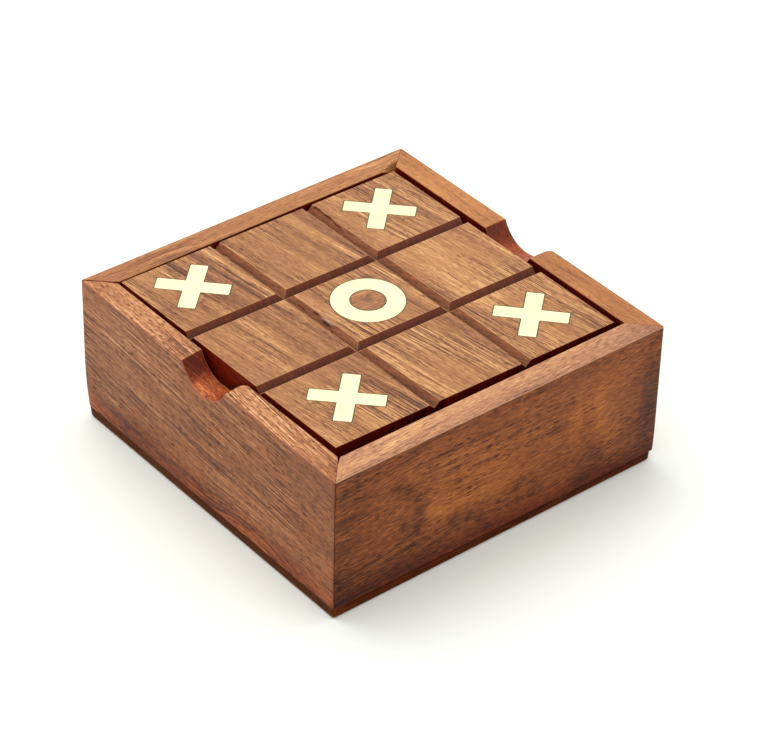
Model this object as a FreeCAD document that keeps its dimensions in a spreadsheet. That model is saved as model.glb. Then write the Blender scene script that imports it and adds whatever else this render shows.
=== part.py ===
"""Tic tac toe set: a mitred wooden box with a lift-out board, brass inlays and playing pieces.

Units are millimetres. +Z is up and the origin is the centre of the underside.
The finger notches are in the walls at -X and +X. The board's grain runs along Y.
"""
import FreeCAD, Part
import os
import Sketcher

V = FreeCAD.Vector
UP = V(0, 0, 1)

# Every driving size, in millimetres (angles in degrees).
SIZES = (
    ("box_side", 127.0),
    ("box_height", 50.8),
    ("front_thickness", 8.9),
    ("back_thickness", 7.8),
    ("left_thickness", 8.2),
    ("right_thickness", 8.5),
    ("base_thickness", 4.0),
    ("base_inset", 0.1),
    ("base_corner", 1.5),
    ("notch_radius", 11.6),
    ("notch_depth", 7.0),
    ("notch_skew", 7.0),
    ("cutter_reach", 17.0),
    ("ledge_width", 4.0),
    ("ledge_height", 6.0),
    ("corner_left_x", -53.6),
    ("corner_left_y", 54.15),
    ("corner_back_x", 53.1),
    ("corner_back_y", 53.1),
    ("corner_right_x", 53.3),
    ("corner_right_y", -53.3),
    ("corner_front_x", -52.6),
    ("corner_front_y", -51.4),
    ("board_thickness", 9.0),
    ("board_recess", 0.3),
    ("board_shift_x", -0.3),
    ("board_shift_y", 1.2),
    ("groove_depth", 1.9),
    ("groove_flat", 0.1),
    ("groove_length", 120.0),
    ("groove_front_x", -60.0),
    ("groove_front_y", -15.68),
    ("groove_front_turn", -0.92),
    ("groove_back_x", -60.0),
    ("groove_back_y", 19.21),
    ("groove_back_turn", -0.85),
    ("groove_left_x", -16.11),
    ("groove_left_y", -60.0),
    ("groove_left_turn", 91.09),
    ("groove_right_x", 18.65),
    ("groove_right_y", -60.0),
    ("groove_right_turn", 90.37),
    ("inlay_thickness", 1.5),
    ("inlay_gap", 0.15),
    ("cross_span", 23.4),
    ("cross_arm", 5.6),
    ("cross_corner", 0.4),
    ("cross_left_x", -37.4),
    ("cross_left_y", 39.1),
    ("cross_left_turn", 43.6),
    ("cross_back_x", 35.7),
    ("cross_back_y", 38.6),
    ("cross_back_turn", 44.5),
    ("cross_right_x", 35.9),
    ("cross_right_y", -35.0),
    ("cross_right_turn", 42.4),
    ("cross_front_x", -35.1),
    ("cross_front_y", -34.4),
    ("cross_front_turn", 44.6),
    ("ring_outer", 23.4),
    ("ring_inner", 11.4),
    ("ring_shift", 0.9),
    ("pilot_width", 1.5),
    ("token_thickness", 12.0),
    ("token_cross_span", 28.0),
    ("token_cross_arm", 8.0),
    ("token_ring_outer", 27.0),
    ("token_ring_inner", 11.5),
    ("token_edge", 0.7),
    ("token_offset", 34.0),
)

# Sizes that follow from the ones above.
DERIVED = (
    ("half_outer", "=box_side / 2"),
    ("inner_front", "=box_side / 2 - front_thickness"),
    ("inner_back", "=box_side / 2 - back_thickness"),
    ("inner_left", "=box_side / 2 - left_thickness"),
    ("inner_right", "=box_side / 2 - right_thickness"),
    ("wall_height", "=box_height - base_thickness"),
    ("half_base", "=box_side / 2 - base_inset"),
    ("notch_centre", "=box_height - notch_depth + notch_radius"),
    ("ledge_long", "=inner_front + inner_back"),
    ("ledge_short", "=inner_left + inner_right - 2 * ledge_width"),
    ("board_top", "=box_height - board_recess"),
    ("board_bottom", "=box_height - board_recess - board_thickness"),
    ("groove_wide", "=groove_flat + 2 * groove_depth"),
    ("groove_floor", "=board_thickness - groove_depth"),
    ("groove_roof", "=board_thickness + groove_depth"),
    ("half_cross", "=cross_span / 2"),
    ("half_arm", "=cross_arm / 2"),
    ("half_cross_cut", "=cross_span / 2 + inlay_gap"),
    ("half_arm_cut", "=cross_arm / 2 + inlay_gap"),
    ("ring_big", "=ring_outer / 2"),
    ("ring_small", "=ring_inner / 2"),
    ("ring_pocket", "=ring_outer / 2 + inlay_gap"),
    ("plug_radius", "=ring_inner / 2 - inlay_gap"),
    ("pilot_radius", "=pilot_width / 2"),
    ("half_token_cross", "=token_cross_span / 2"),
    ("half_token_arm", "=token_cross_arm / 2"),
    ("token_big", "=token_ring_outer / 2"),
    ("token_small", "=token_ring_inner / 2"),
)

# Which way from the centre each corner cell or corner stack lies.
CORNERS = (
    ("left", -1, 1),
    ("back", 1, 1),
    ("right", 1, -1),
    ("front", -1, -1),
)

doc = FreeCAD.newDocument("tic_tac_toe_set")


def make_sheet():
    """Put the driving sizes and the ones that follow from them in a spreadsheet."""
    page = doc.addObject("Spreadsheet::Sheet", "sizes")
    for row, (name, value) in enumerate(SIZES + DERIVED, start=1):
        page.set("A%d" % row, name)
        page.set("B%d" % row, str(value))
        page.setAlias("B%d" % row, name)
    doc.recompute()
    return page


sheet = make_sheet()


def value_of(text):
    """The number behind a size name, which may have a leading minus sign."""
    number = float(sheet.get(text.lstrip("-")))
    return -number if text.startswith("-") else number


def expression_of(text):
    """The expression for a size name, which may have a leading minus sign."""
    sign = "-" if text.startswith("-") else ""
    return sign + "sizes." + text.lstrip("-")


def new_body(label):
    """An empty PartDesign body."""
    body = doc.addObject("PartDesign::Body", label.replace("-", "_"))
    body.Label = label
    return body


def new_sketch(body, role, name):
    """A sketch on one of the body's own origin planes."""
    sketch = body.newObject("Sketcher::SketchObject", name)
    plane = [item for item in body.Origin.OriginFeatures if item.Role == role][0]
    sketch.AttachmentSupport = [(plane, "")]
    sketch.MapMode = "FlatFace"
    return sketch


def pin_point(sketch, line, x_name, y_name):
    """Hold a line's start point at two named distances from the sketch's origin."""
    for kind, name in (("DistanceX", x_name), ("DistanceY", y_name)):
        constraint = Sketcher.Constraint(kind, -1, 1, line, 1, value_of(name))
        index = sketch.addConstraint(constraint)
        sketch.setExpression("Constraints[%d]" % index, expression_of(name))


def draw_polygon(sketch, corners):
    """A closed outline whose corners are pairs of size names."""
    first = sketch.GeometryCount
    count = len(corners)
    points = [V(value_of(x), value_of(y), 0) for x, y in corners]
    for i in range(count):
        sketch.addGeometry(Part.LineSegment(points[i], points[(i + 1) % count]), False)
    for i in range(count):
        following = first + (i + 1) % count
        sketch.addConstraint(Sketcher.Constraint("Coincident", first + i, 2, following, 1))
        pin_point(sketch, first + i, *corners[i])


def draw_circle(sketch, radius_name):
    """A circle about the sketch's origin."""
    line = sketch.addGeometry(Part.Circle(V(0, 0, 0), UP, value_of(radius_name)), False)
    sketch.addConstraint(Sketcher.Constraint("Coincident", line, 3, -1, 1))
    index = sketch.addConstraint(Sketcher.Constraint("Radius", line, value_of(radius_name)))
    sketch.setExpression("Constraints[%d]" % index, expression_of(radius_name))


def pad(body, sketch, length_name):
    """Extrude a sketch upwards."""
    feature = body.newObject("PartDesign::Pad", "Pad")
    feature.Profile = sketch
    feature.Length = value_of(length_name)
    feature.setExpression("Length", expression_of(length_name))
    body.Tip = feature
    doc.recompute()
    return feature


def dress(body, kind, size_name, wanted):
    """Round or bevel every edge of the body that the wanted test picks."""
    before = body.Tip
    names = ["Edge%d" % (i + 1) for i, edge in enumerate(before.Shape.Edges) if wanted(edge)]
    feature = body.newObject("PartDesign::" + kind, kind)
    feature.Base = (before, names)
    property_name = "Radius" if kind == "Fillet" else "Size"
    setattr(feature, property_name, value_of(size_name))
    feature.setExpression(property_name, expression_of(size_name))
    body.Tip = feature
    doc.recompute()
    return feature


def is_upright(edge):
    """True for a straight edge along Z."""
    if not isinstance(edge.Curve, Part.Line):
        return False
    return abs(edge.Curve.Direction.z) > 0.999


def square_corners(half_name):
    """The four corners of a square about the origin."""
    low = "-" + half_name
    return ((low, low), (half_name, low), (half_name, half_name), (low, half_name))


def cross_corners(half_name, arm_name):
    """The twelve corners of a plus-shaped outline."""
    far, near = half_name, arm_name
    quarter = ((far, near), (near, near), (near, far))
    outline = []
    for turn in range(4):
        for x, y in quarter:
            for _ in range(turn):
                x, y = flip(y), x
            outline.append((x, y))
    return outline


def flip(name):
    """The same size name with the other sign."""
    return name[1:] if name.startswith("-") else "-" + name


def place(item, x=None, y=None, z=None, turn=0.0):
    """Turn an object about Z, then hold its position to named sizes."""
    names = [("x", x), ("y", y), ("z", z)]
    base = [value_of(name) if name else 0.0 for _, name in names]
    item.Placement = FreeCAD.Placement(V(*base), FreeCAD.Rotation(UP, turn))
    for axis, name in names:
        if name:
            item.setExpression("Placement.Base." + axis, expression_of(name))


def make_wall(label, turn, inner, low_inner, high_inner):
    """One side of the box: a board with both ends mitred, turned into its place.

    inner names the distance of its inner face from the middle of the box, and low_inner and
    high_inner those of the two sides that it meets.
    """
    body = new_body(label)
    sketch = new_sketch(body, "XY_Plane", "MitredOutline")
    draw_polygon(sketch, (
        ("-half_outer", "-half_outer"),
        ("half_outer", "-half_outer"),
        (high_inner, "-" + inner),
        ("-" + low_inner, "-" + inner),
    ))
    pad(body, sketch, "wall_height")
    place(body, z="base_thickness", turn=turn)
    return body


def notched(blank, label, side, skew_name):
    """A side of the box with a round finger notch cut across its top edge."""
    drum = doc.addObject("Part::Cylinder", label + "_notch_cutter")
    drum.setExpression("Radius", "sizes.notch_radius")
    drum.setExpression("Height", "2 * sizes.cutter_reach")
    skew = value_of(skew_name) if skew_name else 0.0
    across = V(1, skew_slope(skew), 0)
    drum.Placement = FreeCAD.Placement(V(0, 0, 0), FreeCAD.Rotation(UP, across))
    if side < 0:
        drum.setExpression("Placement.Base.x", "-(sizes.half_outer + sizes.cutter_reach)")
        drum.setExpression("Placement.Base.y", "-%.4f * sizes.cutter_reach" % skew_slope(skew))
    else:
        drum.setExpression("Placement.Base.x", "sizes.half_outer - sizes.cutter_reach")
    drum.setExpression("Placement.Base.z", "sizes.notch_centre")
    wall = doc.addObject("Part::Cut", label)
    wall.Label = label
    wall.Base = blank
    wall.Tool = drum
    doc.recompute()
    return wall


def skew_slope(degrees):
    """How far a cutter drifts along Y for each unit along X."""
    return FreeCAD.Rotation(UP, degrees).multVec(V(1, 0, 0)).y


def make_base():
    """The panel glued under the four walls, a little smaller than they are."""
    body = new_body("base_panel")
    sketch = new_sketch(body, "XY_Plane", "PanelOutline")
    draw_polygon(sketch, square_corners("half_base"))
    pad(body, sketch, "base_thickness")
    dress(body, "Fillet", "base_corner", is_upright)
    place(body)
    return body


def make_ledge(label, x_text, y_text, along_x):
    """A strip glued inside one wall, with its top at the board's underside."""
    strip = doc.addObject("Part::Box", label)
    strip.Label = label
    length, width = "sizes.ledge_short" if along_x else "sizes.ledge_long", "sizes.ledge_width"
    strip.setExpression("Length", length if along_x else width)
    strip.setExpression("Width", width if along_x else length)
    strip.setExpression("Height", "sizes.ledge_height")
    strip.setExpression("Placement.Base.x", x_text)
    strip.setExpression("Placement.Base.y", y_text)
    strip.setExpression("Placement.Base.z", "sizes.board_bottom - sizes.ledge_height")
    return strip


def make_cross(label, half_name, arm_name, thickness_name):
    """A flat cross whose arms point to the corners of its cell."""
    body = new_body(label)
    sketch = new_sketch(body, "XY_Plane", "CrossOutline")
    draw_polygon(sketch, cross_corners(half_name, arm_name))
    pad(body, sketch, thickness_name)
    return body


def make_ring(label, big_name, small_name, thickness_name):
    """A flat ring."""
    body = new_body(label)
    sketch = new_sketch(body, "XY_Plane", "RingOutline")
    draw_circle(sketch, big_name)
    draw_circle(sketch, small_name)
    pad(body, sketch, thickness_name)
    return body


def seat_inlay(item, x_text, y_text, turn):
    """Lay an inlay, or the cutter for its pocket, flush with the board's top."""
    item.Placement = FreeCAD.Placement(V(0, 0, 0), FreeCAD.Rotation(UP, turn))
    item.setExpression("Placement.Base.x", "sizes.board_shift_x + " + x_text)
    item.setExpression("Placement.Base.y", "sizes.board_shift_y + " + y_text)
    item.setExpression("Placement.Base.z", "sizes.board_top - sizes.inlay_thickness")


def make_inlays():
    """Brass crosses in the corner cells, and a brass ring round a wooden plug in the middle one."""
    nodes = []
    cutters = []
    for name, _, _ in CORNERS:
        x_text, y_text = ("sizes.cross_%s_%s" % (name, axis) for axis in "xy")
        turn = value_of("cross_%s_turn" % name)
        inlay = make_cross("inlay_cross_" + name, "half_cross", "half_arm", "inlay_thickness")
        dress(inlay, "Fillet", "cross_corner", is_arm_end)
        cutter = make_cross("pocket_" + name, "half_cross_cut", "half_arm_cut", "board_thickness")
        for item in (inlay, cutter):
            seat_inlay(item, x_text, y_text, turn)
        nodes.append(inlay)
        cutters.append(cutter)
    ring = make_ring("inlay_ring", "ring_big", "ring_small", "inlay_thickness")
    plug = make_ring("ring_plug", "plug_radius", "pilot_radius", "inlay_thickness")
    drill = doc.addObject("Part::Cylinder", "pocket_ring")
    drill.setExpression("Radius", "sizes.ring_pocket")
    drill.setExpression("Height", "sizes.board_thickness")
    for item in (ring, plug, drill):
        seat_inlay(item, "sizes.ring_shift", "sizes.ring_shift", 0.0)
    nodes += [ring, plug]
    cutters.append(drill)
    return nodes, cutters


def is_arm_end(edge):
    """True for the upright edges at the tips of a cross, not those at its middle."""
    if not is_upright(edge):
        return False
    centre = edge.CenterOfMass
    return max(abs(centre.x), abs(centre.y)) > 2 * min(abs(centre.x), abs(centre.y))


def make_groove(name):
    """The cutter for one V groove: it starts beyond the board's edge and runs right across."""
    body = new_body("groove_" + name)
    sketch = new_sketch(body, "YZ_Plane", "GrooveSection")
    draw_polygon(sketch, (("-groove_flat", "groove_floor"), ("groove_flat", "groove_floor"),
                          ("groove_wide", "groove_roof"), ("-groove_wide", "groove_roof")))
    pad(body, sketch, "groove_length")
    turn = value_of("groove_%s_turn" % name)
    body.Placement = FreeCAD.Placement(V(0, 0, 0), FreeCAD.Rotation(UP, turn))
    body.setExpression("Placement.Base.x", "sizes.board_shift_x + sizes.groove_%s_x" % name)
    body.setExpression("Placement.Base.y", "sizes.board_shift_y + sizes.groove_%s_y" % name)
    body.setExpression("Placement.Base.z", "sizes.board_bottom")
    return body


def make_board(pockets):
    """The lift-out board: V grooves mark nine cells, and pockets hold the inlays.

    It is hand made: neither its outline nor its grooves are quite square.
    """
    body = new_body("board_blank")
    sketch = new_sketch(body, "XY_Plane", "BoardOutline")
    names = ("front", "right", "back", "left")
    draw_polygon(sketch, [("corner_%s_x" % name, "corner_%s_y" % name) for name in names])
    pad(body, sketch, "board_thickness")
    place(body, x="board_shift_x", y="board_shift_y", z="board_bottom")
    cutters = doc.addObject("Part::MultiFuse", "board_cutters")
    cutters.Shapes = pockets + [make_groove(name) for name in names]
    board = doc.addObject("Part::Cut", "game_board")
    board.Label = "game_board"
    board.Base = body
    board.Tool = cutters
    doc.recompute()
    return board


def is_face_edge(thickness):
    """A test that picks the edges round a flat piece's top and bottom faces."""
    def test(edge):
        middle = edge.CenterOfMass.z
        return min(abs(middle), abs(middle - thickness)) < 1e-4
    return test


def make_tokens():
    """Loose playing pieces: a layer of noughts with a layer of crosses lying on it."""
    nodes = []
    thickness = value_of("token_thickness")
    spots = CORNERS + (("centre", 0, 0),)
    for name, x_side, y_side in spots:
        nought = make_ring("nought_" + name, "token_big", "token_small", "token_thickness")
        cross = make_cross("cross_" + name, "half_token_cross", "half_token_arm", "token_thickness")
        layers = ((nought, "sizes.base_thickness", 0.0),
                  (cross, "sizes.base_thickness + sizes.token_thickness", 45.0))
        for item, height, turn in layers:
            dress(item, "Chamfer", "token_edge", is_face_edge(thickness))
            item.Placement = FreeCAD.Placement(V(0, 0, 0), FreeCAD.Rotation(UP, turn))
            item.setExpression("Placement.Base.x", "%d * sizes.token_offset" % x_side)
            item.setExpression("Placement.Base.y", "%d * sizes.token_offset" % y_side)
            item.setExpression("Placement.Base.z", height)
            nodes.append(item)
    return nodes


def make_box():
    """The four walls, the panel under them and the ledges inside."""
    front = make_wall("wall_front", 0.0, "inner_front", "inner_left", "inner_right")
    back = make_wall("wall_back", 180.0, "inner_back", "inner_right", "inner_left")
    left = make_wall("wall_left_blank", 270.0, "inner_left", "inner_back", "inner_front")
    right = make_wall("wall_right_blank", 90.0, "inner_right", "inner_front", "inner_back")
    low_x, high_x = "-sizes.inner_left", "sizes.inner_right - sizes.ledge_width"
    low_y, high_y = "-sizes.inner_front", "sizes.inner_back - sizes.ledge_width"
    between = "sizes.ledge_width - sizes.inner_left"
    return [
        front,
        back,
        notched(left, "wall_left", -1, "notch_skew"),
        notched(right, "wall_right", 1, None),
        make_base(),
        make_ledge("ledge_left", low_x, low_y, False),
        make_ledge("ledge_right", high_x, low_y, False),
        make_ledge("ledge_front", between, low_y, True),
        make_ledge("ledge_back", between, high_y, True),
    ]


def check_document():
    """Stop if any object failed to build."""
    for item in doc.Objects:
        if "Invalid" in item.State or "Error" in item.State:
            raise RuntimeError("failed object: " + item.Label)


def write_steps(nodes):
    """Write each sub-part to its own STEP file."""
    os.makedirs("parts", exist_ok=True)
    for node in nodes:
        shape = node.Shape
        if shape.isNull() or not shape.isValid() or len(shape.Solids) != 1:
            raise RuntimeError("bad shape: " + node.Label)
        shape.exportStep("parts/" + node.Label + ".step")
        box = shape.BoundBox
        print("%-20s volume %9.1f  z %6.2f to %6.2f" % (node.Label, shape.Volume, box.ZMin, box.ZMax))


def build():
    """Make every sub-part and write them out."""
    nodes = make_box()
    inlays, cutters = make_inlays()
    nodes.append(make_board(cutters))
    nodes += inlays
    nodes += make_tokens()
    doc.recompute()
    check_document()
    write_steps(nodes)


build()
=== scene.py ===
import math
from collections import namedtuple
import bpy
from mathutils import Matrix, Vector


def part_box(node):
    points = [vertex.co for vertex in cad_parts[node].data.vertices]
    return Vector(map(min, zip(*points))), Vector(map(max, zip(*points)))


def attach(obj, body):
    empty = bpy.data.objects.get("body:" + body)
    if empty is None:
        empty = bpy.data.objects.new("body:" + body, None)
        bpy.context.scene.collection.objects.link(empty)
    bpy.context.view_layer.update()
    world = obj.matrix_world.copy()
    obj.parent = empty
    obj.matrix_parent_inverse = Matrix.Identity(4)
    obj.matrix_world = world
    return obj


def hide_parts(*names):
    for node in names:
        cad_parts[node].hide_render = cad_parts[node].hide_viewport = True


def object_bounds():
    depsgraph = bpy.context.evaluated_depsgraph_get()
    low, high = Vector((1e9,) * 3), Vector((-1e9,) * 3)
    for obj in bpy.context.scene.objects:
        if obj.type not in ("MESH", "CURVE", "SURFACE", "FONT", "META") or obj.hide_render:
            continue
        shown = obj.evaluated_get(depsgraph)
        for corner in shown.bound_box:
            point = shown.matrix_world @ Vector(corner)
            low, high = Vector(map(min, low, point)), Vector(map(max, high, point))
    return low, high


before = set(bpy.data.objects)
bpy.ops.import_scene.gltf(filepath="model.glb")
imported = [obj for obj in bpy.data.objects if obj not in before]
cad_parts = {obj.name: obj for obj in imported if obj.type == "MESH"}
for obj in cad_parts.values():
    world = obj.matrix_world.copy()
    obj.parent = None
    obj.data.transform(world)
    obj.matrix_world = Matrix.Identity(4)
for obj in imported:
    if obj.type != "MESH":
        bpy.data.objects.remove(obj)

from types import SimpleNamespace

import bmesh
import bpy
import numpy as np
from mathutils import Matrix, Vector, noise

CAD_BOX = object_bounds()
MM = 0.001
UP = Vector((0, 0, 1))

# ---------------- sizes from the frame
WALL_LOW, WALL_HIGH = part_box("wall_front")
BASE_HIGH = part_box("base_panel")[1]
BOARD_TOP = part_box("game_board")[1].z
HALF = WALL_HIGH.x - 1e-6  # half the box's side, a hair inside the CAD
OUTER = HALF / MM  # the same in millimetres
RIM = WALL_HIGH.z  # height of the rim
FOOT = WALL_LOW.z  # where the walls meet the base panel


def thickness(side):
    """A wall's thickness: its box's shorter side in plan."""
    low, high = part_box("wall_" + side)
    return min(high.x - low.x, high.y - low.y)


def middle_mm(node):
    """The middle of a CAD node's box, in millimetres."""
    low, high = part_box(node)
    return (low + high) * (0.5 / MM)


THICK = {side: thickness(side) for side in ("front", "back", "left", "right")}

# ---------------- sizes shared with the CAD
NOTCH_RADIUS = 11.6 * MM
NOTCH_DEPTH = 7.0 * MM
NOTCH_SKEW = math.tan(math.radians(7.0))
CROSS_HALF = 11.7  # millimetres, as in the node trees
CROSS_ARM = 2.8
RING_OUTER = 11.7
# The degrees that each brass cross is turned by.
CROSSES = {"inlay_cross_left": 43.6, "inlay_cross_back": 44.5, "inlay_cross_right": 42.4,
           "inlay_cross_front": 44.6}


# ---------------- node trees
class Tree:
    """Short names for building a material's node tree."""

    def __init__(self, name):
        self.material = bpy.data.materials.new(name)
        self.material.use_nodes = True
        self.nodes = self.material.node_tree.nodes
        self.links = self.material.node_tree.links
        self.nodes.clear()
        self.shader = self.nodes.new("ShaderNodeBsdfPrincipled")
        out = self.nodes.new("ShaderNodeOutputMaterial")
        self.links.new(self.shader.outputs[0], out.inputs[0])

    def put(self, value, socket):
        """Link a socket, or set a plain value."""
        if isinstance(value, bpy.types.NodeSocket):
            self.links.new(value, socket)
        else:
            socket.default_value = value

    def math(self, operation, a, b=0.0, c=0.0):
        node = self.nodes.new("ShaderNodeMath")
        node.operation = operation
        for value, socket in zip((a, b, c), node.inputs):
            self.put(value, socket)
        return node.outputs[0]

    def times(self, a, b, plus=0.0):
        """a times b, plus a third value."""
        return self.math("MULTIPLY_ADD", a, b, plus)

    def vector(self, operation, a, b=(0, 0, 0)):
        node = self.nodes.new("ShaderNodeVectorMath")
        node.operation = operation
        self.put(a, node.inputs[0])
        self.put(b, node.inputs[1])
        return node.outputs[1 if operation in ("LENGTH", "DOT_PRODUCT") else 0]

    def split(self, vector):
        node = self.nodes.new("ShaderNodeSeparateXYZ")
        self.put(vector, node.inputs[0])
        return tuple(node.outputs)

    def join(self, x, y, z):
        node = self.nodes.new("ShaderNodeCombineXYZ")
        for value, socket in zip((x, y, z), node.inputs):
            self.put(value, socket)
        return node.outputs[0]

    def noise(self, vector, scale=1.0, detail=2.0, roughness=0.5):
        node = self.nodes.new("ShaderNodeTexNoise")
        self.put(vector, node.inputs["Vector"])
        node.inputs["Scale"].default_value = scale
        node.inputs["Detail"].default_value = detail
        node.inputs["Roughness"].default_value = roughness
        return node.outputs["Fac"]

    def cells(self, vector):
        """Distance to the nearest of a scatter of points, and a random value for that point."""
        node = self.nodes.new("ShaderNodeTexVoronoi")
        self.put(vector, node.inputs["Vector"])
        node.inputs["Scale"].default_value = 1.0
        return node.outputs["Distance"], self.split(node.outputs["Color"])[0]

    def ramp(self, value, stops):
        """A colour ramp; stops are (position, colour)."""
        node = self.nodes.new("ShaderNodeValToRGB")
        self.put(value, node.inputs[0])
        points = node.color_ramp.elements
        while len(points) < len(stops):
            points.new(0.5)
        for point, (position, colour) in zip(points, stops):
            point.position = position
            point.color = (*colour, 1.0)
        return node.outputs[0]

    def fade(self, value, low, high, to_low=0.0, to_high=1.0):
        """Smoothly map low..high to to_low..to_high."""
        node = self.nodes.new("ShaderNodeMapRange")
        node.interpolation_type = "SMOOTHSTEP"
        for item, socket in zip((value, low, high, to_low, to_high), node.inputs):
            self.put(item, socket)
        return node.outputs[0]

    def mix(self, factor, a, b, blend="MIX"):
        node = self.nodes.new("ShaderNodeMix")
        node.data_type = "RGBA"
        node.blend_type = blend
        self.put(factor, node.inputs["Factor"])
        for value, socket in ((a, node.inputs[6]), (b, node.inputs[7])):
            self.put(value if isinstance(value, bpy.types.NodeSocket) else (*value, 1.0), socket)
        return node.outputs[2]

    def tinted(self, colour, factor, tint):
        """The colour, multiplied by a tint as far as the factor says."""
        return self.mix(factor, colour, self.mix(1.0, colour, tint, "MULTIPLY"))

    def attribute(self, name):
        node = self.nodes.new("ShaderNodeAttribute")
        node.attribute_name = name
        return node.outputs["Fac"]

    def bump(self, height, distance, strength):
        node = self.nodes.new("ShaderNodeBump")
        node.inputs["Strength"].default_value = strength
        node.inputs["Distance"].default_value = distance
        self.put(height, node.inputs["Height"])
        return node.outputs[0]

    def here(self):
        """The point in the object's own coordinates, in millimetres."""
        node = self.nodes.new("ShaderNodeTexCoord")
        return self.vector("MULTIPLY", node.outputs["Object"], [1 / MM] * 3)

    def facing(self):
        """The way the surface looks, in the object's own coordinates."""
        return self.nodes.new("ShaderNodeTexCoord").outputs["Normal"]

    def surface(self, inputs):
        """Link or set the shader's inputs, given by their names."""
        for name, value in inputs.items():
            self.put(value, self.shader.inputs[name])

    def turned(self, vector, rotation):
        node = self.nodes.new("ShaderNodeMapping")
        self.put(vector, node.inputs["Vector"])
        node.inputs["Rotation"].default_value = rotation
        return node.outputs[0]


# ---------------- wood
WOOD_LEVEL = 0.92  # how light the varnished wood is altogether
STANDARD = dict(
    deep=(0.060, 0.016, 0.006),
    dark=(0.175, 0.051, 0.016),
    mid=(0.320, 0.112, 0.033),
    light=(0.470, 0.190, 0.058),
    pale=(0.660, 0.320, 0.115),
)
GRAIN_TURN = {"X": 0.0, "Y": -90.0}  # degrees that bring the grain onto X
FIBRE = (2.4, 0.30, 0.30)  # length and widths, in millimetres
PORE = (3.8, 0.47, 0.47)
PORE_COVER = 0.8  # how far a pore hides the colour round it
END_GRAIN = (0.62, 0.40, 0.30)  # cut fibres drink the varnish and look darker and redder
GAP_SHADE_AND_JOINT = (0.42, 0.055, 0.012)  # painted shade on faces down in the gaps, in chips and on inner faces, and the dark of glue lines
SAWN = ((0.66, 0.36, 0.25), (1.22, 0.68, 0.50))  # dark and light marks of the saw
FILLER = (0.075, 0.035, 0.022)
# a painted highlight on the lip of the board's broken edge, and the painted shadow in the crack
# under it
LIP_HIGHLIGHT = (0.50, 0.38, 0.31)
CRACK_SHADOW = (0.012, 0.004, 0.002)
PLUG_FILLER = (0.16, 0.09, 0.055)
BRASS = ((0.90, 0.86, 0.57), (0.88, 0.82, 0.51))
TARNISH = (0.42, 0.30, 0.12)
PAPER = ((0.925, 0.942, 0.920), (0.945, 0.962, 0.940))

# The broken edge in the board's middle cell: a painted highlight on its lip and the painted shadow
# in the crack under it, as places.
# A place is (centre, size, amount), and its lengths are millimetres.
LIP_HIGHLIGHT_PLACE = ((-15.85, 1.2, 50.25), (0.30, 2.3, 0.30), 0.85)
CRACK_SHADOW_PLACE = ((-16.45, 0.9, 49.70), (0.30, 2.2, 0.20), 1.6)

# What a wood is like unless its piece says otherwise. Lengths are millimetres.
PLAIN_WOOD = dict(
    tilt=0.0,  # degrees the grain is turned by in an upright face
    spin=0.0,  # and in a level one
    heart=(70.0, 25.0),  # where the tree's middle lies across the grain
    seed=0.0,
    colours={},  # tones that differ from STANDARD
    warp=3.0,  # how far the rings wander
    bends=(),  # places where the rings are pushed out
    patches=(),  # places where the wood is lighter or darker, some of them painted highlight and sheen
    quiet=(),  # places where lines and pores fade
    band=8.0,  # width of the broad bands
    line=1.3,  # width of the lines
    hair=0.5,  # width of the fine lines
    mix=(1.0, 1.2, 1.0, 0.5),  # weights of the bands, lines, fine lines and fibres
    flecks=0.0,  # strength of golden streaks
    pores=1.0,  # how dark the pores are
    coarse=1.0,  # how wide the pores are
    calm=0.0,  # how far the fine figure fades on faces that look up
    rough=0.36,
    coat=0.05,
    gloss=0.2,
    tint=(1.0, 1.0, 1.0),  # tint of the whole
    top=(1.0, 1.0, 1.0),  # tint of the faces that look up: a painted sheen
    low=(1.0, 1.0, 1.0),  # tint of the foot of an upright face
    slope=None,  # colours of faces that look up aslant, along and across; the darker one across the grain is partly end grain and partly painted shade
    edge=None,  # colour and strength of worn arrises; pale ones are partly a painted highlight
    stains=None,  # a function that lays the piece's own stains, and on the board the painted highlight and shadow at its broken edge
)


def centred(t, value, gain):
    """A noise value moved to swing round zero, and scaled."""
    return t.times(t.math("SUBTRACT", value, 0.5), gain)


def glow(t, point, centre, size, push, field):
    """Add a soft round bump to a field, its size given along the three axes."""
    away = t.vector("DIVIDE", t.vector("SUBTRACT", point, centre), size)
    near = t.math("EXPONENT", t.times(t.vector("DOT_PRODUCT", away, away), -1.0))
    return t.times(near, push, field)


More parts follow.
